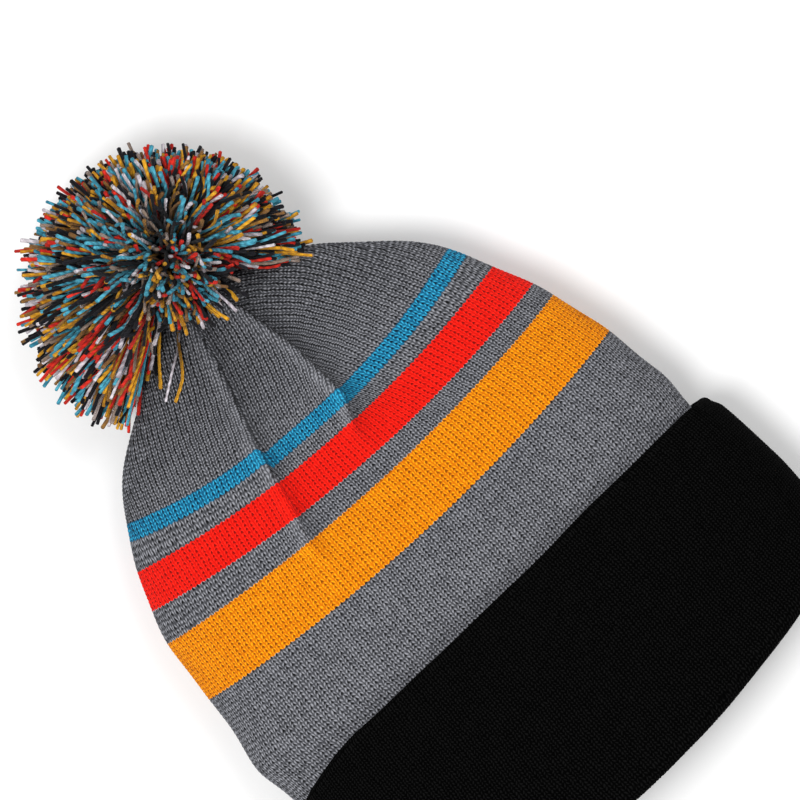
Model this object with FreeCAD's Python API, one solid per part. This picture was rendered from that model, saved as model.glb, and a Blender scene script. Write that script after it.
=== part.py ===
import FreeCAD, Part
import math
import os

# A cuffed, double-knit winter hat with a yarn pom, lying on its back, lightly rounded out.
# +Y runs from the mouth to the pom, +X across the hat, +Z up. The origin is on the ground,
# under the middle of the whole hat. Units are millimetres.

# Driving dimensions
CUFF_HEIGHT = 82.0          # at the middle of the front, from the top fold to the mouth fold
CROWN_HEIGHT = 147.0        # from the cuff's top fold to the tied point of the crown
CROWN_HALF_WIDTH = 97.75    # widest, just above the cuff
HAT_FLATNESS = 0.29         # half thickness of the crown over its half width
AXIS_Z = 29.0               # height of the hat's own centre line over the ground
PLY = 2.2                   # thickness of one knitted layer
LINING_PLY = 2.0
LINING_INSET = 2.4          # from the hat's outside to the lining's outside
LAYER_GAP = 0.3             # air between two layers on different bodies
OUTLINE_TAPER = 0.18        # the crown's outline is a tapered superellipse
OUTLINE_RISE_POWER = 4.1
OUTLINE_ROUND_POWER = 1.4

BRIM_HALF_WIDTH = 94.0      # the tube that the cuff is turned up over
BRIM_HALF_HEIGHT = 24.4
BRIM_TOP = 2.4              # where the brim ends and the crown begins, above the fold
TUCK_HEIGHTS = (-12.0, -4.0, BRIM_TOP)

CUFF_TOP_HALF_WIDTH = 98.9
CUFF_FLARE = 0.105          # growth of the half width per millimetre towards the mouth
CUFF_TOP_HALF_HEIGHT = 29.7
CUFF_HALF_HEIGHT_GROWTH = 0.016
CUFF_SINK = 0.8             # how far the cuff's round underside is pressed flat by the ground
CUFF_TOP_FOLD_DEPTH = 4.0
CUFF_MOUTH_FOLD_DEPTH = 6.0
MOUTH_BOW_RADIUS = 348.0    # the mouth edge bows outwards, seen from above

POM_RADIUS = 49.0
POM_BEYOND_APEX = 8.4       # pom centre past the tied point, along +Y
POM_CENTRE_Z = 41.0
POM_CLEARANCE = 6.0         # between the tied point and the yarn, so that the pom can lean
POM_HOLLOW_SLOPE = 6.0      # degrees that the yarn's hollow side dips towards the crown
YARN_COLOURS = ["black", "blue", "yellow", "red", "white"]
YARN_TUFTS_PER_COLOUR = 2

TIE_HOLE_RADIUS = 2.6
TIE_HOLE_LENGTH = 30.0
TIE_THREAD_RADIUS = 1.1
TIE_KNOT_RADIUS = 3.2
TIE_KNOT_SLACK = 3.4        # thread between the lining and the knot inside the hat
TIE_LOOP_RADIUS = 1.4
TIE_LOOP_LENGTH = 5.5
TIE_RISE = 30.0             # degrees that the tie threads climb from the crown into the pom
TIE_LEG_LENGTH = 8.0
TIE_LEG_START = 2.7         # from the loop's middle
TIE_LEG_SPREAD = 1.2        # half the distance between the two legs
PIVOT_BEYOND_APEX = 2.0
GATHERING_RING_RADIUS = 4.6
GATHERING_THREAD_RADIUS = 0.9
BINDING_RING_RADIUS = 5.0
BINDING_RADIUS = 1.6
CORE_RADIUS = 7.2           # the space round the binding, in the middle of the yarn
CHANNEL_RADIUS = 3.2        # the space round the tie threads

# Where each colour change crosses the middle, above the cuff's top fold, with the radius of
# its bow towards the mouth and its lean in degrees (the left end stands higher).
COLOUR_CHANGES = [
    ("band_grey_lower", 2.4, None, 0.0),
    ("stripe_yellow", 34.7, 627.0, 1.4),
    ("band_grey_middle", 57.1, 560.0, 1.9),
    ("stripe_red", 65.3, 401.0, 3.1),
    ("band_grey_upper", 78.2, 330.0, 3.1),
    ("stripe_blue", 84.7, 256.0, 3.3),
    ("crown_top", 89.8, 256.0, 3.3),
]

# Sewn darts of the front, from the tied point towards the cuff: points across and above the
# cuff's top fold. The back has the same pair mirrored.
DART_WIDTH = 1.2
FRONT_DARTS = {
    "left": [(-2.5, 143.0), (-9.2, 119.0), (-21.4, 85.7), (-23.1, 73.1), (-28.2, 57.8)],
    "right": [(5.0, 143.0), (11.4, 131.0), (15.3, 109.0), (15.9, 86.4), (9.9, 74.5)],
}

# Worked out
TOTAL_LENGTH = CUFF_HEIGHT + CROWN_HEIGHT + POM_BEYOND_APEX + POM_RADIUS
FOLD_Y = CUFF_HEIGHT - TOTAL_LENGTH / 2
APEX_Y = FOLD_Y + CROWN_HEIGHT
MOUTH_Y = FOLD_Y - CUFF_HEIGHT
POM_CENTRE = FreeCAD.Vector(0, APEX_Y + POM_BEYOND_APEX, POM_CENTRE_Z)
PIVOT = FreeCAD.Vector(0, APEX_Y + PIVOT_BEYOND_APEX, AXIS_Z)
X_AXIS = FreeCAD.Vector(1, 0, 0)
Y_AXIS = FreeCAD.Vector(0, 1, 0)
Z_AXIS = FreeCAD.Vector(0, 0, 1)
BIG = 400.0                 # larger than the hat, for the solids that only cut
ROOM = 120.0                # reach of a cutting solid above and below the hat
OVERRUN = 5.0               # how far a solid runs past the one that trims it
APEX_CAP_HALF_WIDTH = 8.0   # the flat spot where the crown is drawn together
APEX_CAP_HALF_HEIGHT = 6.5
APEX_ROUNDING = 2.5
HEIGHT_INSET_SHARE = 0.8    # the layers lie closer together over the crown's round
CAP_INSET_SHARE = 0.5
CROWN_BULGE_HEIGHTS = (7.0, 14.0, 24.0)
CROWN_STATIONS = 10


def save(name, shape):
    """Writes one sub-part under its own name."""
    shape.exportStep("parts/" + name + ".step")


def ellipse_wire(y, half_width, half_height, centre_z=AXIS_Z):
    centre = FreeCAD.Vector(0, y, centre_z)
    side = FreeCAD.Vector(half_width, y, centre_z)
    top = FreeCAD.Vector(0, y, centre_z + half_height)
    return Part.Wire(Part.Ellipse(side, top, centre).toShape())


def tube(sections):
    """A smooth solid through elliptical sections of (y, half width, half height, centre z)."""
    return Part.makeLoft([ellipse_wire(*section) for section in sections], True, False)


def upright_cylinder(x, y, radius):
    return Part.makeCylinder(radius, 2 * ROOM, FreeCAD.Vector(x, y, -ROOM), Z_AXIS)


def beyond_bow(y, bow_radius, lean_degrees=0.0):
    """Everything on the pom's side of a bowed line that crosses the middle at y."""
    lean = math.radians(lean_degrees)
    return upright_cylinder(bow_radius * math.sin(lean), y + bow_radius * math.cos(lean), bow_radius)


def beyond_plane(y):
    return Part.makeBox(2 * BIG, BIG, 2 * ROOM, FreeCAD.Vector(-BIG, y, -ROOM))


def outline(height):
    """Half width of the crown at a height above the cuff's top fold."""
    share = height / CROWN_HEIGHT
    rounded = (1 - share ** OUTLINE_RISE_POWER) ** (1 / OUTLINE_ROUND_POWER)
    return CROWN_HALF_WIDTH * (1 - OUTLINE_TAPER * share) * rounded


def crown_solid(inset):
    """The crown's outer form, or the same form moved inwards by inset all round."""
    sections = []
    for height in TUCK_HEIGHTS:
        sections.append((FOLD_Y + height, BRIM_HALF_WIDTH - inset, BRIM_HALF_HEIGHT - inset))
    top = CROWN_HEIGHT - inset
    heights = list(CROWN_BULGE_HEIGHTS)
    last_bulge = heights[-1]
    for step in range(1, CROWN_STATIONS):
        share = math.sin(0.5 * math.pi * step / CROWN_STATIONS)
        heights.append(last_bulge + (top - APEX_ROUNDING - last_bulge) * share)
    for height in heights:
        width = outline(height * CROWN_HEIGHT / top)
        half_height = max(width * HAT_FLATNESS, APEX_CAP_HALF_HEIGHT)
        sections.append((FOLD_Y + height, width - inset, half_height - inset * HEIGHT_INSET_SHARE))
    cap_inset = inset * CAP_INSET_SHARE
    sections.append((FOLD_Y + top, APEX_CAP_HALF_WIDTH - cap_inset, APEX_CAP_HALF_HEIGHT - cap_inset))
    return tube(sections)


def brim_solid(inset, reach):
    """The straight tube under the cuff, from the mouth to the crown."""
    width = BRIM_HALF_WIDTH - inset
    height = BRIM_HALF_HEIGHT - inset
    return tube([(MOUTH_Y - reach, width, height), (FOLD_Y + BRIM_TOP, width, height)])


def make_hat_layers():
    """The outer layer, knitted in bands of colour, and the lining inside it."""
    hole_start = FreeCAD.Vector(0, APEX_Y - TIE_HOLE_LENGTH / 2, AXIS_Z)
    tie_hole = Part.makeCylinder(TIE_HOLE_RADIUS, TIE_HOLE_LENGTH, hole_start, Y_AXIS)
    outer = crown_solid(0.0).cut(crown_solid(PLY)).cut(tie_hole)
    seams = make_dart_seams(outer)
    for seam in seams.values():
        outer = outer.cut(seam)
    for name, seam in seams.items():
        save(name, seam)

    regions = []
    for name, height, bow_radius, lean in COLOUR_CHANGES:
        if bow_radius is None:
            regions.append((name, beyond_plane(FOLD_Y + height)))
        else:
            regions.append((name, beyond_bow(FOLD_Y + height, bow_radius, lean)))
    for (name, region), (_, following) in zip(regions, regions[1:]):
        save(name, outer.common(region).cut(following))
    last_name, last_region = regions[-1]
    save(last_name, outer.common(last_region))

    mouth_trim = beyond_bow(MOUTH_Y + CUFF_MOUTH_FOLD_DEPTH / 2, MOUTH_BOW_RADIUS)
    brim = brim_solid(0.0, OVERRUN).cut(brim_solid(PLY, 2 * OVERRUN))
    save("brim_under_cuff", brim.common(mouth_trim))

    crown_side = beyond_plane(FOLD_Y + BRIM_TOP)
    bore_inset = LINING_INSET + LINING_PLY
    lining_outer = brim_solid(LINING_INSET, OVERRUN).fuse(crown_solid(LINING_INSET).common(crown_side))
    lining_inner = brim_solid(bore_inset, 2 * OVERRUN).fuse(crown_solid(bore_inset).common(crown_side))
    save("lining", lining_outer.cut(lining_inner).cut(tie_hole).common(mouth_trim))


def dart_wall(points, mirror):
    """A thin upright wall that follows a dart, seen from above."""
    path = [FreeCAD.Vector(x * mirror, FOLD_Y + height, 0) for x, height in points]
    left = []
    right = []
    for i, point in enumerate(path):
        before = path[max(i - 1, 0)]
        after = path[min(i + 1, len(path) - 1)]
        along = (after - before).normalize()
        across = FreeCAD.Vector(-along.y, along.x, 0) * (DART_WIDTH / 2)
        left.append(point + across)
        right.append(point - across)
    ring = left + right[::-1] + left[:1]
    return Part.Face(Part.makePolygon(ring))


def make_dart_seams(outer):
    """The sewn seams of the darts: narrow strips let into the outer layer, two on each side."""
    seams = {}
    for side, points in FRONT_DARTS.items():
        front = dart_wall(points, 1)
        front.translate(FreeCAD.Vector(0, 0, AXIS_Z))
        seams["dart_seam_front_" + side] = outer.common(front.extrude(Z_AXIS * ROOM))
        back = dart_wall(points, -1)
        back.translate(FreeCAD.Vector(0, 0, AXIS_Z))
        other = {"left": "right", "right": "left"}[side]
        seams["dart_seam_back_" + other] = outer.common(back.extrude(Z_AXIS * -ROOM))
    return seams


def cuff_solid(inset):
    """The turned-up cuff's form, flared towards the mouth, level underneath."""
    sections = []
    for below in (-CUFF_TOP_FOLD_DEPTH / 2, CUFF_HEIGHT + OVERRUN):
        half_width = CUFF_TOP_HALF_WIDTH + CUFF_FLARE * below
        half_height = CUFF_TOP_HALF_HEIGHT + CUFF_HALF_HEIGHT_GROWTH * below
        centre_z = half_height - CUFF_SINK
        sections.append((FOLD_Y - below, half_width - inset, half_height - inset, centre_z))
    return tube(sections)


def make_cuff():
    """Two layers of cloth joined by a fold at the top and a fold at the mouth."""
    above_ground = Part.makeBox(2 * BIG, 2 * BIG, ROOM, FreeCAD.Vector(-BIG, -BIG, 0))
    mouth_trim = beyond_bow(MOUTH_Y, MOUTH_BOW_RADIUS)
    past_mouth_fold = beyond_bow(MOUTH_Y + CUFF_MOUTH_FOLD_DEPTH, MOUTH_BOW_RADIUS)
    top_fold_start = beyond_plane(FOLD_Y - CUFF_TOP_FOLD_DEPTH / 2)

    form = cuff_solid(0.0).common(above_ground).common(mouth_trim)
    middle = cuff_solid(PLY)
    bore = cuff_solid(2 * PLY)
    brim_room = brim_solid(-LAYER_GAP, 2 * OVERRUN)

    save("cuff_top_fold", form.common(top_fold_start).cut(bore))
    between_folds = form.cut(top_fold_start).common(past_mouth_fold)
    save("cuff_outer_layer", between_folds.cut(middle))
    save("cuff_inner_layer", between_folds.common(middle).cut(bore))
    save("cuff_mouth_fold", form.cut(past_mouth_fold).cut(brim_room))


def make_ties():
    """What holds the pom: a knot inside the crown, its loop outside, and the threads into the pom."""
    lining_top = APEX_Y - 2 * PLY - LINING_PLY
    knot_centre = FreeCAD.Vector(0, lining_top - TIE_KNOT_SLACK - TIE_KNOT_RADIUS, AXIS_Z)
    knot = Part.makeSphere(TIE_KNOT_RADIUS, knot_centre)
    shank_length = PIVOT.y - TIE_LOOP_RADIUS - LAYER_GAP - knot_centre.y
    shank = Part.makeCylinder(TIE_THREAD_RADIUS, shank_length, knot_centre, Y_AXIS)
    save("tie_knot", knot.fuse(shank))

    loop_start = PIVOT - X_AXIS * (TIE_LOOP_LENGTH / 2)
    save("tie_loop", Part.makeCylinder(TIE_LOOP_RADIUS, TIE_LOOP_LENGTH, loop_start, X_AXIS))

    gather_centre = FreeCAD.Vector(0, APEX_Y + GATHERING_THREAD_RADIUS, AXIS_Z)
    gather = Part.makeTorus(GATHERING_RING_RADIUS, GATHERING_THREAD_RADIUS, gather_centre, Y_AXIS)
    save("crown_gathering_thread", gather)


def make_pom():
    """A ball of cut yarn in tufts of five colours, bound in the middle and flat underneath."""
    rise = math.radians(TIE_RISE)
    inwards = FreeCAD.Vector(0, math.cos(rise), math.sin(rise))
    leg_start = PIVOT + inwards * TIE_LEG_START
    legs = []
    for side in (1, -1):
        foot = leg_start + X_AXIS * (side * TIE_LEG_SPREAD)
        legs.append(Part.makeCylinder(TIE_THREAD_RADIUS, TIE_LEG_LENGTH, foot, inwards))
    save("pom_tie_threads", legs[0].fuse(legs[1]))

    binding = Part.makeTorus(BINDING_RING_RADIUS, BINDING_RADIUS, POM_CENTRE, Z_AXIS)
    save("pom_binding", binding)

    core = Part.makeSphere(CORE_RADIUS, POM_CENTRE)
    channel = Part.makeCylinder(CHANNEL_RADIUS, TIE_LEG_LENGTH, leg_start, inwards)
    above_ground = Part.makeBox(2 * BIG, 2 * BIG, ROOM, FreeCAD.Vector(-BIG, -BIG, 0))
    hollow_tip = FreeCAD.Vector(0, APEX_Y + POM_CLEARANCE, AXIS_Z)
    hollow_depth = 2 * POM_RADIUS * math.tan(math.radians(POM_HOLLOW_SLOPE))
    hollow = Part.makeCone(0, 2 * POM_RADIUS, hollow_depth, hollow_tip, -Y_AXIS)
    behind = Part.makeCylinder(2 * POM_RADIUS, BIG, hollow_tip - Y_AXIS * (hollow_depth + BIG), Y_AXIS)
    ball = Part.makeSphere(POM_RADIUS, POM_CENTRE).common(above_ground)
    ball = ball.cut(hollow.fuse(behind)).cut(core).cut(channel)

    tufts = len(YARN_COLOURS) * YARN_TUFTS_PER_COLOUR
    tuft_angle = 2 * math.pi / tufts
    for index, colour in enumerate(YARN_COLOURS):
        solids = []
        for turn in range(YARN_TUFTS_PER_COLOUR):
            start = (index + turn * len(YARN_COLOURS)) * tuft_angle
            tuft = ball.common(wedge(start, start + tuft_angle))
            solids.append(max(tuft.Solids, key=lambda solid: solid.Volume))
        save("pom_yarn_" + colour, Part.makeCompound(solids))


def wedge(start, end):
    """A wedge about the line through the pom's centre along +Y, between two angles."""
    reach = 2 * POM_RADIUS
    corner = FreeCAD.Vector(0, POM_CENTRE.y - reach, POM_CENTRE.z)
    first = corner + FreeCAD.Vector(reach * math.cos(start), 0, reach * math.sin(start))
    second = corner + FreeCAD.Vector(reach * math.cos(end), 0, reach * math.sin(end))
    return Part.Face(Part.makePolygon([corner, first, second, corner])).extrude(Y_AXIS * (2 * reach))


os.makedirs("parts", exist_ok=True)
make_hat_layers()
make_cuff()
make_ties()
make_pom()
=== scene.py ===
"""Looks of a cuffed knitted hat with a yarn pom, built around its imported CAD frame.

Points are worked out in millimetres in the frame's own axes: +X across the hat, +Y from the
mouth to the pom, +Z up. "Height" is the distance above the cuff's top fold, along +Y.
"""

import math

import bpy
import numpy as np
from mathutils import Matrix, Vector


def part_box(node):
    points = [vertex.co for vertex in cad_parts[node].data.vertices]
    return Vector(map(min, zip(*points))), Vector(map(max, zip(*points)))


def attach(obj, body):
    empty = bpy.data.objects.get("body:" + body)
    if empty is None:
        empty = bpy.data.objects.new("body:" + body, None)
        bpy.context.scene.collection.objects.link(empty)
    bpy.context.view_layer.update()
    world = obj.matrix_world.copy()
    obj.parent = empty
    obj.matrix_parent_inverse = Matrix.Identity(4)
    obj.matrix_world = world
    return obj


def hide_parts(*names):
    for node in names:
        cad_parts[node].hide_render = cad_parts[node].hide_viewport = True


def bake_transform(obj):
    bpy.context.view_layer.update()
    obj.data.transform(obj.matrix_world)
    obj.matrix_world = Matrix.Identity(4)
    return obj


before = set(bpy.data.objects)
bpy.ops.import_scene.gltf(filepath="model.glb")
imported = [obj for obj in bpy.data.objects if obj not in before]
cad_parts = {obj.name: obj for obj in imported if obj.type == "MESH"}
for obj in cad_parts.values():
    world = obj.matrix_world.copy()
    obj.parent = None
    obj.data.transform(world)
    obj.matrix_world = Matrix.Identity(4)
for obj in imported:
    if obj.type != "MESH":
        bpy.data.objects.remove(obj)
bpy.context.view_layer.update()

MM = 0.001


def put_in_scene(name, data):
    thing = bpy.data.objects.new(name, data)
    bpy.context.scene.collection.objects.link(thing)
    return thing


def node_box(name):
    """Lowest and highest corner of a CAD node, in millimetres."""
    low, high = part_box(name)
    return np.array(low) / MM, np.array(high) / MM


# ---- places in the frame
APEX_Y = node_box("crown_top")[1][1]
MOUTH_Y = node_box("cuff_mouth_fold")[0][1]
CUFF_FOLD_RISE = 2.0
FOLD_Y = node_box("cuff_top_fold")[1][1] - CUFF_FOLD_RISE
CROWN_HEIGHT = APEX_Y - FOLD_Y
CUFF_HEIGHT = FOLD_Y - MOUTH_Y
LINING_BOX = node_box("lining")
AXIS_Z = (LINING_BOX[0][2] + LINING_BOX[1][2]) / 2
YARN_BOXES = [node_box("pom_yarn_" + colour) for colour in ("black", "blue", "yellow", "red", "white")]
POM_LOW, POM_HIGH = np.min(YARN_BOXES, axis=0)[0], np.max(YARN_BOXES, axis=0)[1]
POM_RADIUS = (POM_HIGH[0] - POM_LOW[0]) / 2
POM_CENTRE = np.array([0.0, POM_HIGH[1] - POM_RADIUS, POM_HIGH[2] - POM_RADIUS])

# ---- the crown's form
CROWN_HALF_WIDTH = 97.75
CROWN_FLATNESS = 0.29
OUTLINE_TAPER = 0.18
OUTLINE_RISE_POWER = 4.1
OUTLINE_ROUND_POWER = 1.4
TUCK_WIDTH = 3.3            # how far the crown draws in where the cuff holds it
TUCK_DEPTH = 3.0
TIP_HALF_HEIGHT = 4.5
SECTION_POWER = 2.2         # 2 is an ellipse; more is fuller at the sides
HIDDEN_HEIGHT = -9.0        # the crown goes on this far down inside the cuff
TOP_CLEARANCE = 0.25        # and stops this far short of its apex

BRIM_HALF_WIDTH = 94.0
BRIM_HALF_HEIGHT = 24.4
PLY = 2.2
LINING_INSET = 4.0
LAYER_GAP = 0.3

CUFF_TOP_HALF_WIDTH = 98.9
CUFF_FLARE = 0.105
CUFF_TOP_HALF_HEIGHT = 29.7
CUFF_HALF_HEIGHT_GROWTH = 0.016
CUFF_SINK = 0.8
MOUTH_BOW_RADIUS = 445.0
MOUTH_TRIM = 3.2            # how much shorter the visible cloth is than its CAD stand-in

# Colour changes: height at the middle, radius of the bow and lean in degrees.
BAND_EDGES = [
    (34.7, 627.0, 1.4), (57.1, 560.0, 1.9), (65.3, 430.0, 3.5),
    (78.2, 356.0, 3.6), (83.9, 236.0, 4.2), (89.6, 218.0, 4.2),
]
# The darts' creases, from the lower end up: height, distance across.
DART_LEFT = [
    (57.8, -28.4), (66.8, -24.7), (77.7, -21.4), (94.1, -17.0), (108.6, -12.2), (118.0, -9.4), (143.0, -2.0),
]
DART_RIGHT = [(74.5, 9.9), (86.4, 15.9), (109.0, 15.3), (131.0, 11.4), (143.0, 5.0)]

# Lines that the wales run along in each gore of the front: height, distance across.
GORE_LINES = {
    "left": [
        (-10, -43.4), (20, -41.5), (40, -38.9), (60, -35.7), (70, -33.9), (80, -31.6), (90, -28.7),
        (100, -25.4), (110, -21.6), (120, -17.3), (130, -12.8), (143, -6.0),
    ],
    "middle": [
        (-10, -13.0), (60, -11.5), (92, -9.0), (100, -7.0), (110, -3.9), (120, -1.0), (143, 4.0), (147, 4.8),
    ],
    "right": [
        (-10, 54.5), (30, 53.8), (45, 52.6), (60, 50.2), (70, 47.9), (80, 45.3), (90, 42.2),
        (107, 36.0), (122, 28.0), (134, 17.0), (143, 4.8),
    ],
}

STEP_FROM = 80.0            # colour changes above this height have a step at the left dart
STEP_SIZE = 1.6
STEP_REACH_LEFT = 16
STEP_REACH_RIGHT = 9

WALE_PITCH = 2.24
COURSE_PITCH = 1.38
LIE_LOW = 3.0               # how far right the lower part lies, and the top
LIE_TOP = -0.6
LIE_TUCKED = 1.3            # how far back the cuff holds the lowest part
STITCH_RELIEF = 0.34
STITCH_TOOTH = 1.2          # how far the V of a stitch bends a colour change, over one wale
CHEVRON = 1.4               # how many courses a leg of the V climbs over one wale
CROWN_KNIT_WIDTH = 96.0     # half widths where the wales are counted
CUFF_KNIT_WIDTH = 101.0
FRONT_COLUMNS = 500
BACK_COLUMNS = 220
ROWS_PER_COURSE = 4
TOP_ROWS = 188
TOP_ROW_POWER = 1.5         # rows lie closer together towards the apex

DART_RAISED = 1.3
DART_DROP = 2.9
PUCKER = 0.9                # the bulge under the right dart
# Painted highlight on each dart's ridge and painted shade in its crease: where the highlight runs, how wide
# it is, and how far the shade reaches.
RIDGE_HIGHLIGHT_OFFSET = 2.6          # the taut ridge runs this far left of the crease
RIDGE_HIGHLIGHT_WIDTH = 2.3
CREASE_SHADE_REACH = 4.5
# Of each dart: crease, softness of the rise, reach of its end, painted highlight of its ridge and painted
# shade of its crease.
DARTS = [(DART_LEFT, 4.5, 16.0, 0.9, 0.85), (DART_RIGHT, 4.0, 10.0, 1.0, 1.0)]


def smooth(low, high, value):
    """0 before low, 1 after high, with no corners."""
    t = np.clip((value - low) / (high - low), 0, 1)
    return t * t * (3 - 2 * t)


def soften(values, times):
    """Rounds off the corners of a row of values, in place."""
    for _ in range(times):
        values[1:-1] = (values[:-2] + 2 * values[1:-1] + values[2:]) / 4


def unit(vectors):
    return vectors / np.maximum(np.linalg.norm(vectors, axis=-1, keepdims=True), 1e-9)


def crown_half_width(height):
    share = np.clip(height / CROWN_HEIGHT, 0, 1)
    form = (1 - OUTLINE_TAPER * share) * (1 - share**OUTLINE_RISE_POWER) ** (1 / OUTLINE_ROUND_POWER)
    return CROWN_HALF_WIDTH * form - TUCK_WIDTH * (1 - smooth(-6, 18, height))


def crown_half_height(height):
    width = crown_half_width(height)
    tip = TIP_HALF_HEIGHT * smooth(115, 140, height) * width / (width + 3)
    return np.hypot(CROWN_FLATNESS * width, tip) - TUCK_DEPTH * (1 - smooth(1, 9, height))


def band_edge(x, middle, bow_radius, lean_degrees):
    """Height of a colour change at x: an arc that bows towards the mouth, and leans.

    The upper stripe doesn't quite meet itself where the left dart crosses it.
    """
    lean = math.radians(lean_degrees)
    across = x - bow_radius * math.sin(lean)
    arc = middle + bow_radius * math.cos(lean) - np.sqrt(bow_radius**2 - across**2)
    if middle < STEP_FROM:
        return arc
    beside = x - dart_across(DART_LEFT, arc)
    before = STEP_SIZE * np.exp(np.minimum(beside, 0) / STEP_REACH_LEFT)
    after = -0.6 * STEP_SIZE * np.exp(-np.maximum(beside, 0) / STEP_REACH_RIGHT)
    return arc + before + (after - before) * smooth(-0.4, 0.4, beside)


def ring(front_columns, back_columns, flatness):
    """A closed superellipse, evenly divided, from the back's middle over the right side, the
    front and the left side to the back's middle.

    Returns the ring position (2 and -2 at the back's middle, 1 and -1 at the sides, 0 at the
    front's middle), and the unit x and z of each column.
    """
    turn = np.linspace(0, math.pi / 2, 4001)
    x = np.sin(turn) ** (2 / SECTION_POWER)
    z = np.cos(turn) ** (2 / SECTION_POWER)
    arc = np.concatenate([[0], np.cumsum(np.hypot(np.diff(x), np.diff(z * flatness)))])
    arc /= arc[-1]
    back = np.linspace(2, 1, back_columns // 2 + 1)
    front = np.linspace(1, -1, front_columns + 1)
    position = np.concatenate([back[:-1], front, -back[::-1][1:]])
    on_back = np.abs(position) > 1
    share = np.where(on_back, 2 - np.abs(position), np.abs(position))
    angle = np.interp(share, arc, turn)
    unit_x = np.sign(position) * np.sin(angle) ** (2 / SECTION_POWER)
    unit_z = np.where(on_back, -1, 1) * np.cos(angle) ** (2 / SECTION_POWER)
    return position, unit_x, unit_z


def arc_factor(flatness):
    """Length of half a ring over its half width."""
    turn = np.linspace(0, math.pi, 4001)
    x = np.sign(np.cos(turn)) * np.abs(np.cos(turn)) ** (2 / SECTION_POWER)
    z = flatness * np.sin(turn) ** (2 / SECTION_POWER)
    return float(np.sum(np.hypot(np.diff(x), np.diff(z))))


HALF_RING = arc_factor(CROWN_FLATNESS)
WALES = int(round(HALF_RING * CROWN_KNIT_WIDTH / WALE_PITCH))     # on the front
LINE_POINTS = 320
LINE_SMOOTHING = 60
POINTS_AT_ONCE = 20000


class Line:
    """A smooth line on the unrolled crown, with distances along it and away from it."""

    def __init__(self, heights, across):
        fine = np.linspace(heights[0], heights[-1], LINE_POINTS)
        x = np.interp(fine, heights, across)
        soften(x, LINE_SMOOTHING)
        self.points = np.stack([x, fine], axis=1)
        self.tangents = unit(np.gradient(self.points, axis=0))
        steps = np.linalg.norm(np.diff(self.points, axis=0), axis=1)
        self.along = np.concatenate([[0], np.cumsum(steps)])

    def locate(self, points):
        """Distance along the line, distance to its right, and the nearest point on it."""
        nearest = np.empty(len(points), int)
        for start in range(0, len(points), POINTS_AT_ONCE):
            part = slice(start, start + POINTS_AT_ONCE)
            gap = ((points[part, None, :] - self.points[None, :, :]) ** 2).sum(axis=2)
            nearest[part] = gap.argmin(axis=1)
        offset = points - self.points[nearest]
        tangent = self.tangents[nearest]
        along = (offset * tangent).sum(axis=1)
        right = offset[:, 0] * tangent[:, 1] - offset[:, 1] * tangent[:, 0]
        return self.along[nearest] + along, right, self.points[nearest] + tangent * along[:, None]


def gore_line(name, mirror=1):
    heights, across = zip(*GORE_LINES[name])
    stretch = HALF_RING / 2
    return Line(np.array(heights, float), np.array(across) * mirror * stretch)


SIDE_HEIGHTS = np.concatenate([
    np.linspace(-10, 120, 90),
    CROWN_HEIGHT - 27 * np.linspace(1, 0, 120)[1:] ** 1.4,
])
SIDE_LINE = Line(SIDE_HEIGHTS, crown_half_width(SIDE_HEIGHTS) * HALF_RING / 2)
GORES = {name: gore_line(name) for name in GORE_LINES}
BACK_MIDDLE = gore_line("middle", -1)
GORE_PITCH = HALF_RING * crown_half_width(60.0) / WALES
GORE_START = 46.0           # the height at which a gore's wales are matched to the rows below
# Where the knitting starts to lean into the gores: ring position and height.
LEAN_STARTS = [
    (-2, 62), (-1.85, 72), (-1.55, 30), (-1, 12), (-0.45, 30), (-0.25, 52), (0.15, 72), (0.45, 30),
    (1, 12), (1.5, 30), (1.75, 52), (2, 62),
]
LEAN_LENGTH = 32.0


def dart_across(dart, height):
    heights, across = zip(*dart)
    return np.interp(height, heights, across)


def line_offset(line):
    """What to add to a gore line's own coordinates so that they match the rows below it."""
    start = np.array([[np.interp(GORE_START, line.points[:, 1], line.points[:, 0]), GORE_START]])
    along, _, _ = line.locate(start)
    wale = start[0, 0] / (HALF_RING * crown_half_width(GORE_START)) * WALES
    return wale, GORE_START - along[0]


def wales_and_heights(position, x, height):
    """The knitting's own coordinates on the crown: wale number, and millimetres of courses."""
    shape = height.shape
    position, x, height = (a.ravel() for a in (np.broadcast_to(position, shape), x, height))
    rows = position * WALES / 2
    back = np.abs(position) > 1
    side = np.where(position >= 0, 1.0, -1.0)
    share = np.where(back, side * (2 - np.abs(position)), position)
    across = share * HALF_RING * crown_half_width(height) / 2
    flat = np.stack([across, height], axis=1)

    left, right = dart_across(DART_LEFT, height), dart_across(DART_RIGHT, height)
    in_right = np.where(back, x > -left, x > right)
    in_left = np.where(back, x < -right, x < left)
    wale = rows.copy()
    course = height.copy()
    start = np.interp(position, *zip(*LEAN_STARTS))
    blend = smooth(start, start + LEAN_LENGTH, height)
    busy = blend > 0
    for name, inside, line in (
        ("left", in_left, GORES["left"]),
        ("right", in_right, GORES["right"]),
        ("front", ~in_left & ~in_right & ~back, GORES["middle"]),
        ("back", ~in_left & ~in_right & back, BACK_MIDDLE),
    ):
        chosen = np.flatnonzero(inside & busy)
        if not len(chosen):
            continue
        points = flat[chosen]
        if name in ("left", "right"):
            folded = back[chosen]
            flip = [1 if name == "right" else -1, 1]
            mirrored = points[folded] * flip
            _, _, foot = SIDE_LINE.locate(mirrored)
            points[folded] = (2 * foot - mirrored) * flip
        along, to_right, _ = line.locate(points)
        first_wale, first_height = line_offset(line)
        if name == "back":
            gore = side[chosen] * WALES - (to_right / GORE_PITCH + first_wale)
        else:
            gore = to_right / GORE_PITCH + first_wale
        share = blend[chosen]
        wale[chosen] = rows[chosen] * (1 - share) + gore * share
        course[chosen] = height[chosen] * (1 - share) + (along + first_height) * share
    return wale.reshape(shape), course.reshape(shape)


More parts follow.
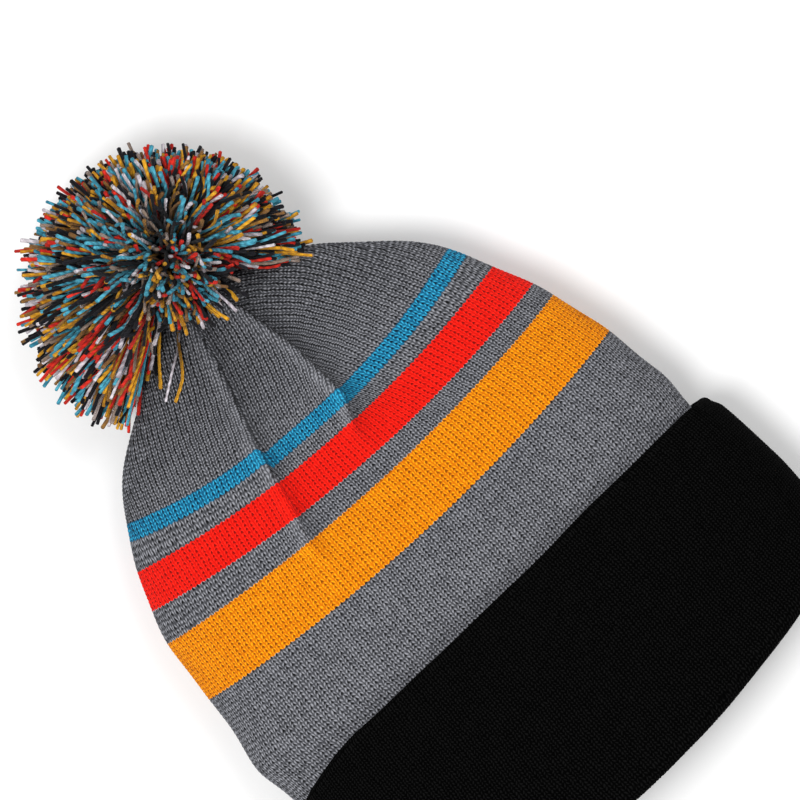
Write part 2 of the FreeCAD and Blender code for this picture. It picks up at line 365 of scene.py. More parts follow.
def stitch_height(wale, course):
    """Relief of plain knitting, 0 to 1: in each wale two legs make a V on every course."""
    middle = np.abs(wale - np.round(wale))
    legs = np.clip(np.sin(2 * math.pi * middle), 0, 1) ** 0.7
    chevron = 0.5 + 0.5 * np.cos(2 * math.pi * (course - CHEVRON * middle))
    return legs * (0.5 + 0.5 * chevron) + 0.25 * (1 - 2 * middle) * (1 - legs)


def dart_shapes(x, height):
    """What the darts do to the cloth: how far they move it in or out, and its share of painted light.

    The cloth is raised at a dart's left, then drops sharply. The share is below 0 for a painted
    highlight on that ridge and above 0 for painted shade in the crease. The back's pair is the front's,
    mirrored.
    """
    across = np.where(np.abs(POSITION) > 1, -x, x)
    move, fold = np.zeros_like(height), np.zeros_like(height)
    for dart, soft, fade, ridge, crease in DARTS:
        end = dart[0][0]
        distance = across - dart_across(dart, height)
        beyond = np.clip(distance, 0, None)
        raised = DART_RAISED * np.exp(-((distance + 2.4) / 3.4) ** 2)
        drop = -DART_DROP * np.exp(-beyond / soft) * smooth(-1.1, 0.9, distance)
        strength = smooth(end - fade, end + fade, height) * (1 - 0.4 * smooth(128, 146, height))
        move += (raised + drop) * strength
        # painted highlight on the ridge left of the crease, painted shade in the crease
        ridge_highlight = -ridge * np.exp(-((distance + RIDGE_HIGHLIGHT_OFFSET) / RIDGE_HIGHLIGHT_WIDTH) ** 2)
        dark = crease * smooth(-0.6, 1.0, distance) * np.exp(-beyond / CREASE_SHADE_REACH)
        fold += (ridge_highlight + dark) * smooth(end - 12, end + 5, height)
    end_height, end_across = DART_RIGHT[0]
    pucker = np.exp(-(((across - end_across + 4) / 6) ** 2) - ((height - end_height + 6) / 7) ** 2)
    return move + PUCKER * pucker, fold


# Waves: turns per mm across and up, phase, size in mm.
WAVES = [
    (0.021, 0.034, 0.4, 0.45), (-0.043, 0.027, 2.1, 0.3),
    (0.071, -0.012, 4.0, 0.22), (0.013, 0.083, 1.2, 0.2),
]
WAVE_STRETCH = 2.2


def softness(across, height):
    """Slow unevenness of cloth that lies loosely."""
    total = np.zeros(np.broadcast(across, height).shape)
    for along_x, along_y, phase, size in WAVES:
        total += size * np.sin(2 * math.pi * (along_x * across + along_y * height) / WAVE_STRETCH + phase)
    return total


def normals(points, outwards=1):
    """Unit normals of a grid of points (rows up the hat, columns round it)."""
    up = np.gradient(points, axis=0)
    sideways = np.gradient(points, axis=1)
    return unit(np.cross(up, sideways) * outwards)


# ---- meshes
def grid_faces(rows, columns, first=0):
    i, j = np.meshgrid(np.arange(rows - 1), np.arange(columns - 1), indexing="ij")
    a = first + i * columns + j
    return np.stack([a, a + columns, a + columns + 1, a + 1], axis=2).reshape(-1, 4)


def lie(height):
    """How far to the right the knitting lies: it isn't quite straight."""
    whole = LIE_TOP + (LIE_LOW - LIE_TOP) * (1 - smooth(0, 105, height))
    return whole - LIE_TUCKED * (1 - smooth(10, 45, height))


def laid(points):
    """Points moved to where the knitting lies."""
    shifted = points.copy()
    shifted[:, 0] += lie(points[:, 1] - FOLD_Y)
    return shifted


NO_FACES = np.zeros((0, 3), int)


def add_piece(name, points, quads, material, body, slot, replaces=(), triangles=NO_FACES, **attributes):
    """A piece from points in millimetres, with vector attributes on its points."""
    mesh = bpy.data.meshes.new(name)
    mesh.vertices.add(len(points))
    mesh.vertices.foreach_set("co", (points * MM).astype(np.float32).ravel())
    corners = np.concatenate([quads.ravel(), triangles.ravel()]).astype(np.int32)
    starts = np.concatenate([
        np.arange(len(quads)) * 4,
        len(quads) * 4 + np.arange(len(triangles)) * 3,
    ]).astype(np.int32)
    mesh.loops.add(len(corners))
    mesh.loops.foreach_set("vertex_index", corners)
    mesh.polygons.add(len(starts))
    mesh.polygons.foreach_set("loop_start", starts)
    mesh.polygons.foreach_set("use_smooth", np.ones(len(starts), bool))
    for key, values in attributes.items():
        layer = mesh.attributes.new(key, "FLOAT_VECTOR", "POINT")
        layer.data.foreach_set("vector", values.astype(np.float32).ravel())
    mesh.update(calc_edges=True)
    mesh.validate()
    mesh.materials.append(material)
    piece = put_in_scene(name, mesh)
    if body:
        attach(piece, body)
    if replaces:
        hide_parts(*replaces)
    return piece


def grid_piece(name, grids, material, body, slot, replaces=()):
    """One piece of knitting, of one or more grids: (points, knit coordinates, share of painted light at the
    darts).
    """
    points, knit, fold, quads, first = [], [], [], [], 0
    for grid, coordinates, folded in grids:
        rows, columns = grid.shape[:2]
        quads.append(grid_faces(rows, columns, first))
        points.append(laid(grid.reshape(-1, 3)))
        knit.append(coordinates.reshape(-1, 3))
        fold.append(np.stack([np.broadcast_to(folded, (rows, columns)).ravel()] * 3, axis=1))
        first += rows * columns
    return add_piece(
        name, np.concatenate(points), np.concatenate(quads), material, body, slot, replaces,
        knit=np.concatenate(knit), fold=np.concatenate(fold),
    )


def front_and_back(name, grid, first, last, material, body, slot, replaces):
    """Two pieces of a ring of knitting: its front, from the first column to the last, and its back."""
    for end, sides in (
        ("_front", [slice(first, last + 1)]), ("_back", [slice(0, first + 1), slice(last, None)]),
    ):
        grids = [[part[:, side] for part in grid] for side in sides]
        grid_piece(name + end, grids, material, body, slot, replaces)


# ---- materials
class Shader:
    """A material's node tree, with short calls for the nodes used here."""

    def __init__(self, name, roughness, sheen, specular=0.25):
        self.material = bpy.data.materials.new(name)
        self.material.use_nodes = True
        self.tree = self.material.node_tree
        self.surface = self.tree.nodes["Principled BSDF"]
        for key, value in (
            ("Roughness", roughness), ("Specular IOR Level", specular),
            ("Sheen Weight", sheen), ("Sheen Roughness", 0.6),
        ):
            self.surface.inputs[key].default_value = value

    def node(self, kind, **inputs):
        node = self.tree.nodes.new("ShaderNode" + kind)
        for key, value in inputs.items():
            self.put(node.inputs[key], value)
        return node

    def put(self, socket, value):
        if isinstance(value, bpy.types.NodeSocket):
            self.tree.links.new(value, socket)
        else:
            socket.default_value = value

    def math(self, operation, a, b=0.0, c=0.0):
        node = self.node("Math")
        node.operation = operation
        for socket, value in zip(node.inputs, (a, b, c)):
            self.put(socket, value)
        return node.outputs[0]

    def times(self, a, b):
        return self.math("MULTIPLY", a, b)

    def scale_add(self, a, scale, plus):
        return self.math("MULTIPLY_ADD", a, scale, plus)

    def attribute(self, name):
        node = self.node("Attribute")
        node.attribute_name = name
        return self.node("SeparateXYZ", Vector=node.outputs["Vector"]).outputs

    def spread(self, value, low, high, to_low=0.0, to_high=1.0):
        node = self.node("MapRange")
        node.interpolation_type = "SMOOTHSTEP"
        for socket, number in zip(node.inputs[:5], (value, low, high, to_low, to_high)):
            self.put(socket, number)
        return node.outputs[0]

    def noise(self, scale, detail=2.0, roughness=0.5):
        place = self.node("TexCoord").outputs["Object"]
        node = self.node("TexNoise", Vector=place, Scale=scale, Detail=detail, Roughness=roughness)
        return node.outputs["Fac"]

    def random(self, x, y=0.0, z=0.0):
        place = self.node("CombineXYZ", X=x, Y=y, Z=z).outputs[0]
        return self.node("TexWhiteNoise", Vector=place).outputs["Value"]

    def blend(self, share, a, b):
        node = self.node("Mix")
        node.data_type = "RGBA"
        sockets = {s.identifier: s for s in node.inputs}
        self.put(sockets["Factor_Float"], share)
        self.put(sockets["A_Color"], a)
        self.put(sockets["B_Color"], b)
        return next(s for s in node.outputs if s.identifier == "Result_Color")

    def bump(self, height, distance, strength=1.0, below=None):
        node = self.node("Bump", Strength=strength, Distance=distance, Height=height)
        if below is not None:
            self.put(node.inputs["Normal"], below)
        return node.outputs["Normal"]

    def finish(self, colour, normal):
        self.put(self.surface.inputs["Base Color"], colour)
        self.put(self.surface.inputs["Normal"], normal)
        return self.material


def linear(colour):
    """A linear colour from 0 to 255 display values."""
    shares = [part / 255 for part in colour]
    return (*(p / 12.92 if p <= 0.04045 else ((p + 0.055) / 1.055) ** 2.4 for p in shares), 1.0)


def knit_material(name, light, dark, hole_shade, sheen=0.02, contrast=1.0, specular=0.08):
    """Plain knitting: V-shaped legs with a painted highlight, painted shade in a hole in every stitch, uneven
    yarn and fine fuzz;
    painted shade in the valleys near the top and in the darts' creases, and a painted highlight on the darts'
    ridges.
    """
    light, dark = linear(light), linear(dark)
    s = Shader(name, 0.95, sheen, specular)
    wale, course, bunched_shade = s.attribute("knit")
    fold, _, _ = s.attribute("fold")
    wale = s.math("ADD", wale, s.scale_add(s.noise(420.0, 1.0), 0.5, -0.25))
    course = s.math("ADD", course, s.scale_add(s.noise(310.0, 1.0), 1.1, -0.55))
    # painted highlight on the darts' ridges (share below 0) and painted shade in their creases (share above
    # 0)
    ridge_highlight = s.math("MAXIMUM", s.times(fold, -1.0), 0.0)
    crease = s.math("MAXIMUM", fold, 0.0)
    column = s.math("ROUND", wale)
    middle = s.math("ABSOLUTE", s.math("SUBTRACT", wale, column))
    slant = s.math("SUBTRACT", course, s.times(middle, CHEVRON))
    row = s.math("FLOOR", slant)
    phase = s.math("SUBTRACT", slant, row)
    legs = s.math("SINE", s.times(middle, 2 * math.pi))
    chevron = s.scale_add(s.math("COSINE", s.times(phase, 2 * math.pi)), 0.5, 0.5)
    yarn = s.times(legs, s.scale_add(chevron, 0.6, 0.4))
    # painted shade: the hole in every stitch is darkened as if shade fell into it
    hole = s.times(s.spread(middle, 0.24, 0.43), s.spread(chevron, 0.72, 0.12))
    # painted shade in the valleys between wales where the stitches crowd together near the top
    valley_shade = s.times(s.spread(middle, 0.33, 0.49), s.times(bunched_shade, 0.8))
    stitch = s.random(column, row)
    hole = s.times(hole, s.spread(s.random(column, row, 3.0), -0.6, 0.7))
    slow = s.noise(26.0, 3.0)
    fibre = s.noise(2600.0, 2.0, 0.7)
    uneven = s.scale_add(slow, 0.08, s.times(fibre, 0.35))
    uneven = s.scale_add(stitch, 0.2, uneven)
    # painted highlight: the middle of each leg is lighter and the yarn beside it darker, as if lit
    raised = s.times(s.math("POWER", yarn, 1.6), 0.95 * contrast)
    shade = s.math("ADD", uneven, s.math("SUBTRACT", raised, 0.33 * contrast))
    # painted highlight on the darts' ridges, painted shade where the stitches crowd together near the top
    shade = s.scale_add(ridge_highlight, 0.16, s.scale_add(bunched_shade, -0.1, shade))
    colour = s.blend(s.spread(shade, -0.05, 1.0), dark, light)
    # painted shade: holes, valleys and creases are blended towards a darker copy of the dark yarn, less so on
    # the darts' ridges
    depth = tuple(c * hole_shade for c in dark[:3]) + (1.0,)
    sunk = s.times(s.math("MAXIMUM", hole, valley_shade), s.scale_add(ridge_highlight, -0.7, 1.0))
    sunk = s.math("MAXIMUM", sunk, s.times(crease, 0.62))
    colour = s.blend(sunk, colour, depth)
    relief = s.math("ADD", yarn, s.times(hole, -0.8))
    normal = s.bump(relief, 0.35 * MM, 0.8)
    normal = s.bump(fibre, 0.12 * MM, 0.5, normal)
    return s.finish(colour, normal)


def yarn_material(name, light, dark, odd=None, odd_share=0.0):
    """Cut, softly twisted yarn: each strand has its own tone, with two plies and fuzz, painted lighter and
    darker along the twist, and painted shade towards the root.

    A share of the strands has the odd colour, a brown that stands for the yarn in shade: painted shade.
    """
    light, dark = linear(light), linear(dark)
    s = Shader(name, 0.95, 0.05, 0.08)
    around, along, strand = s.attribute("yarn")
    own = s.random(strand)
    twist = s.math("SINE", s.scale_add(around, 2.0, s.times(along, 2.1)))
    ply = s.scale_add(twist, 0.5, 0.5)
    fibre = s.noise(3000.0, 3.0, 0.7)
    # painted highlight and shade along the twist of the plies
    shade = s.scale_add(ply, 0.3, s.times(fibre, 0.45))
    shade = s.scale_add(own, 0.5, shade)
    colour = s.blend(s.spread(shade, 0.1, 1.05), dark, light)
    # painted shade: a share of the strands takes a brown that stands for the yarn in shade
    if odd is not None:
        other = s.random(strand, 7.0)
        colour = s.blend(s.spread(other, odd_share + 0.01, odd_share), colour, linear(odd))
    # painted shade towards the roots of the strands, as if the pom's inside were in shade
    root_shade = tuple(c * 0.12 for c in dark[:3]) + (1.0,)
    colour = s.blend(s.spread(along, ROOT_SHADE_END, ROOT_SHADE_START, 0.0, 0.85), colour, root_shade)
    normal = s.bump(ply, 0.3 * MM, 0.9)
    normal = s.bump(fibre, 0.2 * MM, 0.6, normal)
    return s.finish(colour, normal)


def thread_material(name, light, dark):
    """Fine twisted sewing thread."""
    s = Shader(name, 0.8, 0.1, 0.3)
    wave = s.noise(1400.0, 2.0, 0.6)
    colour = s.blend(s.spread(wave, 0.35, 0.65), linear(dark), linear(light))
    return s.finish(colour, s.bump(wave, 0.15 * MM, 0.7))


# Painted shade: strands are darkened near the root, fading out between these distances along them.
ROOT_SHADE_START = 5.0      # strands are in deep shade up to here, in millimetres along them
ROOT_SHADE_END = 17.5

# Each knit's first colour is its yarn with painted highlight on the legs, the second its yarn in painted
# shade; uneven tone also spreads between them. The third number is how dark the painted shade in the holes
# is, as a share of the second colour.
GREY = knit_material("grey_knit", (140, 141, 147), (57, 58, 62), 0.05)
BLUE = knit_material("blue_knit", (50, 162, 200), (12, 80, 114), 0.1)
RED = knit_material("red_knit", (244, 33, 18), (194, 13, 4), 0.32)
YELLOW = knit_material("yellow_knit", (242, 156, 12), (190, 100, 0), 0.36)
BLACK = knit_material("black_knit", (15, 15, 15), (1, 1, 1), 0.3, sheen=0.0, contrast=1.3, specular=0.02)
LINING = knit_material("lining_knit", (62, 62, 66), (30, 30, 33), 0.3)
SEAM = thread_material("seam_thread", (92, 93, 96), (52, 53, 56))
TIE = thread_material("tie_thread", (205, 204, 206), (150, 150, 154))
# Each yarn's first colour is lighter, the second darker, from its own tone and from painted highlight and
# shade along the plies; where given, the brown third colour for a share of the strands stands for the yarn in
# shade, painted shade.
YARN_LOOKS = {
    "black": ((24, 24, 30), (7, 7, 10)),
    "blue": ((82, 168, 190), (26, 96, 120)),
    "yellow": ((218, 160, 40), (150, 96, 16), (112, 80, 48), 0.28),
    "red": ((216, 48, 34), (146, 20, 16)),
    "white": ((214, 208, 214), (146, 138, 148), (124, 106, 92), 0.36),
}
YARN = {colour: yarn_material("yarn_" + colour, *looks) for colour, looks in YARN_LOOKS.items()}

# ---- crown
POSITION, UNIT_X, UNIT_Z = ring(FRONT_COLUMNS, BACK_COLUMNS, CROWN_FLATNESS)
FRONT_FIRST = BACK_COLUMNS // 2 - 8
FRONT_LAST = len(POSITION) - FRONT_FIRST
SETTLING_STEPS = 14


def knitted_crown(height_at, shares, first_course, last_course=None):
    """Points, knit coordinates and share of painted light at the darts of one band of the crown, on
    rows that follow height_at(share, x). Without a last course the knitting gathers into the gores' own
    courses."""
    share = shares[:, None]
    height = np.broadcast_to(height_at(share, np.zeros(1)), (len(shares), len(POSITION)))
    for _ in range(SETTLING_STEPS):
        height = 0.5 * height + 0.5 * height_at(share, crown_half_width(height) * UNIT_X)
    x = crown_half_width(height) * UNIT_X
    wale, _ = wales_and_heights(POSITION, x, height)
    tooth = STITCH_TOOTH * (np.abs(wale - np.round(wale)) - 0.25) * (1 - smooth(95, 110, height))
    height = height + tooth
    x = crown_half_width(height) * UNIT_X
    z = AXIS_Z + crown_half_height(height) * UNIT_Z
    wale, course_height = wales_and_heights(POSITION, x, height)
    if last_course is None:
        edge = height_at(np.zeros((1, 1)), x)
        low = first_course + (height - edge) / COURSE_PITCH
        free = smooth(edge + 3, edge + 26, height)
        courses = low * (1 - free) + (course_height / COURSE_PITCH) * free
    else:
        courses = first_course + (last_course - first_course) * share + tooth / COURSE_PITCH
    base = np.stack([x, FOLD_Y + height, z], axis=2)
    relief = STITCH_RELIEF + 0.26 * smooth(96, 138, height)
    dart_move, fold = dart_shapes(x, height)
    move = relief * (stitch_height(wale, courses) - 0.5) + dart_move
    move += softness(x, height) * smooth(0, 14, height)
    points = base + normals(base) * move[..., None]
    z = points[..., 2]
    points[..., 2] = np.where(z < 1.0, 0.35 + 0.65 * np.maximum(z, 0.0), z)      # pressed on the floor
    # The third knit coordinate is the share of painted shade where the stitches crowd together near the top.
    return points, np.stack([wale, courses, smooth(84, 114, height)], axis=2), fold


def make_crown():
    edges = [lambda x: np.full_like(x, HIDDEN_HEIGHT)]
    edges += [lambda x, edge=edge: band_edge(x, *edge) for edge in BAND_EDGES]
    courses = [HIDDEN_HEIGHT / COURSE_PITCH] + [edge[0] / COURSE_PITCH for edge in BAND_EDGES]
    bands = [
        ("band_grey_lower", GREY, "grey_knit"), ("stripe_yellow", YELLOW, "yellow_knit"),
        ("band_grey_middle", GREY, "grey_knit"), ("stripe_red", RED, "red_knit"),
        ("band_grey_upper", GREY, "grey_knit"), ("stripe_blue", BLUE, "blue_knit"),
    ]
    for index, (node, material, slot) in enumerate(bands):
        low, high = edges[index], edges[index + 1]
        rows = int(round((courses[index + 1] - courses[index]) * ROWS_PER_COURSE)) + 1

        def height_at(share, x, low=low, high=high):
            return low(x) * (1 - share) + high(x) * share

        grid = knitted_crown(height_at, np.linspace(0, 1, rows), courses[index], courses[index + 1])
        grid_piece(node + "_knit", [grid], material, "hat", slot, [node])

    def top_height(share, x):
        edge = edges[-1](x)
        return edge + (CROWN_HEIGHT - TOP_CLEARANCE - edge) * (1 - (1 - share) ** TOP_ROW_POWER)

    grid = knitted_crown(top_height, np.linspace(0, 1, TOP_ROWS), courses[-1])
    front_and_back("crown_top", grid, FRONT_FIRST, FRONT_LAST, GREY, "hat", "grey_knit", ["crown_top"])


# ---- cuff
def mouth_depth(x):
    """Distance from the top fold to the bowed mouth edge, at x."""
    return CUFF_HEIGHT - MOUTH_TRIM - (MOUTH_BOW_RADIUS - np.sqrt(MOUTH_BOW_RADIUS**2 - x**2))


def cuff_surface(unit_x, unit_z, depth, inset):
    """Points at a depth below the top fold, moved inwards from the cuff's outside by inset."""
    half_width = CUFF_TOP_HALF_WIDTH + CUFF_FLARE * depth - inset
    full_height = CUFF_TOP_HALF_HEIGHT + CUFF_HALF_HEIGHT_GROWTH * depth
    x = half_width * unit_x
    z = full_height - CUFF_SINK + (full_height - inset) * unit_z
    return x, z


def brim_surface(unit_x, unit_z, inset):
    return (BRIM_HALF_WIDTH - inset) * unit_x, AXIS_Z + (BRIM_HALF_HEIGHT - inset) * unit_z


CUFF_FRONT_COLUMNS = 380
CUFF_BACK_COLUMNS = 240
FOLD_THICKNESS = 2 * PLY
FOLD_CLEARANCE = 0.2
MOUTH_ROLL = 5.0
MOUTH_ROLL_COURSES = 3.2    # courses per radian of the roll
RESTING_HEIGHT = 0.05       # of the cuff's outside above the floor
CUFF_SHIFT = 1.3            # the upper part of the cuff lies this far right, and its right side wider
CUFF_SPREAD = 2.3
CORNER_ROUND = 1.3
CORNER_DROOP = 1.0
LEFT_DROOP = 6.0            # the fold hangs towards the mouth at the left


def lay_cuff(base, unit_x):
    """Moves the cuff's points to how it lies: not quite straight, with rounded, hanging corners."""
    depth = FOLD_Y - base[..., 1]
    side = smooth(0.9, 1.0, np.abs(unit_x))
    base[..., 0] += CUFF_SHIFT * (1 - smooth(30, 52, depth))
    base[..., 0] += CUFF_SPREAD * smooth(0.2, 1.0, unit_x) * (1 - smooth(5, 52, depth))
    base[..., 0] -= np.sign(unit_x) * CORNER_ROUND * side * (1 - smooth(0, 5, depth))
    droop = LEFT_DROOP * smooth(60, 104, -base[..., 0]) + CORNER_DROOP * side
    base[..., 1] -= droop * (1 - smooth(0, 45, depth))


def cuff_rows(unit_x, unit_z):
    """Rows of the cuff as (x, y, z, course): up its inner face, over the top fold, down its
    outer face and round the roll at the mouth."""
    rows = []
    courses_total = CUFF_HEIGHT / COURSE_PITCH
    # inner face, from near the mouth up to the top fold
    for share in np.linspace(0.9, 0.04, 14):
        depth = share * mouth_depth(CUFF_TOP_HALF_WIDTH * unit_x)
        x, z = cuff_surface(unit_x, unit_z, depth, FOLD_THICKNESS)
        rows.append((x, FOLD_Y - depth, np.maximum(z, 1.6), -share * courses_total))
    # the fold at the top
    radius = FOLD_THICKNESS / 2
    for angle in np.linspace(math.pi, 0, 12)[1:-1]:
        inset = radius - radius * math.cos(angle)
        rise = radius * math.sin(angle)
        x, z = cuff_surface(unit_x, unit_z, 0.0, inset)
        y = np.full_like(x, FOLD_Y + rise - FOLD_CLEARANCE)
        course = radius * (math.pi / 2 - angle) / COURSE_PITCH - 1.6
        rows.append((x, y, np.maximum(z, RESTING_HEIGHT + inset * 0.35), course))
    # outer face
    outer_rows = int(round(courses_total * 3))
    for step in range(outer_rows + 1):
        share = step / outer_rows
        depth = share * mouth_depth(CUFF_TOP_HALF_WIDTH * unit_x)
        for _ in range(3):
            x, z = cuff_surface(unit_x, unit_z, depth, 0.0)
            depth = share * (mouth_depth(x) - MOUTH_ROLL)
        x, z = cuff_surface(unit_x, unit_z, depth, 0.0)
        rows.append((x, FOLD_Y - depth, np.maximum(z, RESTING_HEIGHT), share * courses_total))
    # the roll at the mouth, round to the brim
    outer_x, outer_z = x, np.maximum(z, RESTING_HEIGHT)
    inner_x, inner_z = brim_surface(unit_x, unit_z, -2 * LAYER_GAP)
    roll_start = FOLD_Y - depth
    for angle in np.linspace(0, math.pi, 20)[1:]:
        share = (1 - math.cos(angle)) / 2
        out = MOUTH_ROLL * math.sin(angle) ** 0.75
        roll_x = outer_x * (1 - share) + inner_x * share
        roll_z = outer_z * (1 - share) + inner_z * share
        rows.append((roll_x, roll_start - out, roll_z, courses_total + angle * MOUTH_ROLL_COURSES))
    for back in (2.0, 5.0, 9.0):
        rows.append((inner_x, roll_start + back, inner_z, courses_total + 10 + back / COURSE_PITCH))
    return rows


def make_cuff():
    position, unit_x, unit_z = ring(CUFF_FRONT_COLUMNS, CUFF_BACK_COLUMNS, CROWN_FLATNESS)
    wale = position * round(HALF_RING * CUFF_KNIT_WIDTH / WALE_PITCH) / 2
    rows = cuff_rows(unit_x, unit_z)
    base = np.stack([np.stack(row[:3], axis=1) for row in rows])
    lay_cuff(base, unit_x)
    course = np.broadcast_to([[row[3]] for row in rows], base.shape[:2])
    wales = np.broadcast_to(wale, course.shape)
    normal = normals(base, -1)
    move = STITCH_RELIEF * 0.8 * (stitch_height(wales, course) - 0.5)
    move = move + 0.5 * softness(base[..., 0] * 0.8 + 40, base[..., 1] * 0.7)
    points = base + normal * move[..., None]
    points[..., 2] = np.maximum(points[..., 2], 0.0)
    knit = np.stack([wales, course, np.zeros_like(wales)], axis=2)
    points, knit = points[::-1], knit[::-1]
    first = CUFF_BACK_COLUMNS // 2 - 6
    nodes = ["cuff_outer_layer", "cuff_inner_layer", "cuff_top_fold", "cuff_mouth_fold"]
    grid = (points, knit, np.zeros_like(wales))
    front_and_back("cuff", grid, first, len(position) - 1 - first, BLACK, "cuff", "black_knit", nodes)


# ---- brim and lining
def make_brim():
    """The tube of knitting that the cuff is turned up over."""
    position, unit_x, unit_z = ring(240, 160, CROWN_FLATNESS)
    wale = position * WALES / 2
    share = np.linspace(0, 1, 110)[:, None]
    x, z = brim_surface(unit_x, unit_z, 0.0)
    mouth = FOLD_Y - mouth_depth(x) + 3.5
    y = mouth + (FOLD_Y + 2.0 - mouth) * share
    course = (y - FOLD_Y) / COURSE_PITCH
    base = np.stack(np.broadcast_arrays(x, y, z), axis=2)
    wale = np.broadcast_to(wale, y.shape)
    points = base + normals(base) * (0.25 * (stitch_height(wale, course) - 1.2))[..., None]
    knit = np.stack([wale, course, np.zeros_like(y)], axis=2)
    grid_piece("brim_under_cuff_knit", [(points, knit, 0.0)], BLACK, "hat", "black_knit", ["brim_under_cuff"])


def make_lining():
    """The inner layer: seen through the mouth, it joins the cuff's rolled edge."""
    position, unit_x, unit_z = ring(180, 130, CROWN_FLATNESS)
    rows = []
    brim_x, brim_z = brim_surface(unit_x, unit_z, LINING_INSET)
    lip_x, lip_z = brim_surface(unit_x, unit_z, -LAYER_GAP)
    edge = FOLD_Y - mouth_depth(brim_x)
    for share in np.linspace(0, 1, 14):
        bend = math.sqrt(1 - (1 - share) ** 2)
        y = edge + 1.2 + 8.0 * share
        rows.append((lip_x + (brim_x - lip_x) * bend, y, lip_z + (brim_z - lip_z) * bend))
    start = edge + 9.2
    for share in np.linspace(0, 1, 56)[1:]:
        rows.append((brim_x, start + (FOLD_Y + 1 - start) * share, brim_z))
    top = CROWN_HEIGHT - LINING_INSET
    for share in np.linspace(0, 1, 90)[1:]:
        height = 1 + (top - 1 - 0.3) * (1 - (1 - share) ** TOP_ROW_POWER)
        outer = height * CROWN_HEIGHT / top
        width = crown_half_width(outer)
        x = (width - LINING_INSET * smooth(0, 20, width)) * unit_x
        z = AXIS_Z + np.maximum(crown_half_height(outer) - LINING_INSET * 0.8, 1.2) * unit_z
        rows.append((x, np.full_like(x, FOLD_Y + height), z))
    base = np.stack([np.stack(row, axis=1) for row in rows])
    wale = np.broadcast_to(position * WALES / 2, base.shape[:2])
    course = (base[..., 1] - FOLD_Y) / COURSE_PITCH
    move = 0.3 * (0.5 - stitch_height(wale, course)) + 0.8 * softness(base[..., 0], base[..., 1])
    points = base + normals(base) * move[..., None]
    knit = np.stack([wale, course, np.zeros_like(wale)], axis=2)
    points, knit = points[::-1], knit[::-1]
    piece = grid_piece("lining_knit", [(points, knit, 0.0)], LINING, None, "lining_knit", ["lining"])
    start = (0, (FOLD_Y - 8) * MM, AXIS_Z * MM)
    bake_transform(piece)


# ---- thread and yarn
def tube_faces(strands, rings, sides):
    """Faces of many tubes with the same number of rings: closed at the last ring by a tip point."""
    per_strand = rings * sides + 1
    ring_index, side_index = np.meshgrid(np.arange(rings - 1), np.arange(sides), indexing="ij")
    following = (side_index + 1) % sides
    low, high = ring_index * sides, (ring_index + 1) * sides
    corners = [low + side_index, low + following, high + following, high + side_index]
    quad = np.stack(corners, axis=2).reshape(-1, 4)
    last = (rings - 1) * sides
    side = np.arange(sides)
    cap = np.stack([last + side, last + (side + 1) % sides, np.full(sides, rings * sides)], axis=1)
    first = (np.arange(strands) * per_strand)[:, None, None]
    return (first + quad).reshape(-1, 4), (first + cap).reshape(-1, 3)


def tubes(centres, radii, sides, rng):
    """Points and yarn coordinates of many tubes. centres: (strands, rings, 3) in millimetres."""
    strands, rings, _ = centres.shape
    along = unit(np.gradient(centres, axis=1))
    helper = np.where(np.abs(along[:, :1, 2:3]) > 0.8, [[[1.0, 0, 0]]], [[[0, 0, 1.0]]])
    side = unit(np.cross(along, helper))
    up = np.cross(side, along)
    turn = np.linspace(0, 2 * math.pi, sides, endpoint=False)
    start = rng.uniform(0, 2 * math.pi, (strands, 1, 1))
    twist = np.arange(rings)[None, :, None] * 0.9
    wobble = 1 + 0.14 * np.cos(2 * (turn[None, None, :] + start + twist))
    reach = radii[:, :, None] * wobble
    around = turn[None, None, :] + start
    offset = side[:, :, None, :] * np.cos(around)[..., None]
    offset = offset + up[:, :, None, :] * np.sin(around)[..., None]
    wall = centres[:, :, None, :] + offset * reach[..., None]
    tip = centres[:, -1] + along[:, -1] * radii[:, -1:] * 0.45
    steps = np.linalg.norm(np.diff(centres, axis=1), axis=2)
    lengths = np.concatenate([np.zeros((strands, 1)), np.cumsum(steps, axis=1)], axis=1)
    number = np.arange(strands, dtype=float) + 1
    yarn = np.stack(np.broadcast_arrays(around, lengths[:, :, None], number[:, None, None]), axis=3)
    tip_yarn = np.stack([np.zeros(strands), lengths[:, -1], number], axis=1)
    points = np.concatenate([wall.reshape(strands, -1, 3), tip[:, None]], axis=1)
    yarn = np.concatenate([yarn.reshape(strands, -1, 3), tip_yarn[:, None]], axis=1)
    return points.reshape(-1, 3), yarn.reshape(-1, 3)


def tube_piece(name, centres, radii, sides, rng, material, body, slot, replaces=()):
    points, yarn = tubes(centres, radii, sides, rng)
    quads, caps = tube_faces(len(centres), centres.shape[1], sides)
    return add_piece(name, points, quads, material, body, slot, replaces, caps, yarn=yarn)


# ---- pom
POM_ROOT = POM_CENTRE + np.array([4.5, 5.3, 0.0])   # where the strands are bound
POM_OUTLINE = POM_CENTRE + np.array([-4.1, -3.3, 0.0])
POM_REACH = POM_RADIUS - 1.6
STRANDS = 8400              # before those that would run into the crown are left out
STRAND_RINGS = 9
STRAND_SIDES = 6
STRAND_RADIUS = 0.56
CORE_RADIUS = 17.0
OPEN_LEFT = 57.0            # the pom is open towards the crown: half angles seen from above
OPEN_RIGHT = 48.0
STEEP = 50.0                # except for strands that rise this steeply
RUFFLED = np.array([-0.72, 0.70])   # on this side the top strands' tips stand out
CLUMP_SHARE = 0.34          # of the strands lie in clumps of their own colour
YARN_SHARES = [("black", 0.27), ("blue", 0.20), ("yellow", 0.24), ("red", 0.12), ("white", 0.17)]
TIE_TIP_CLEARANCE = 0.3


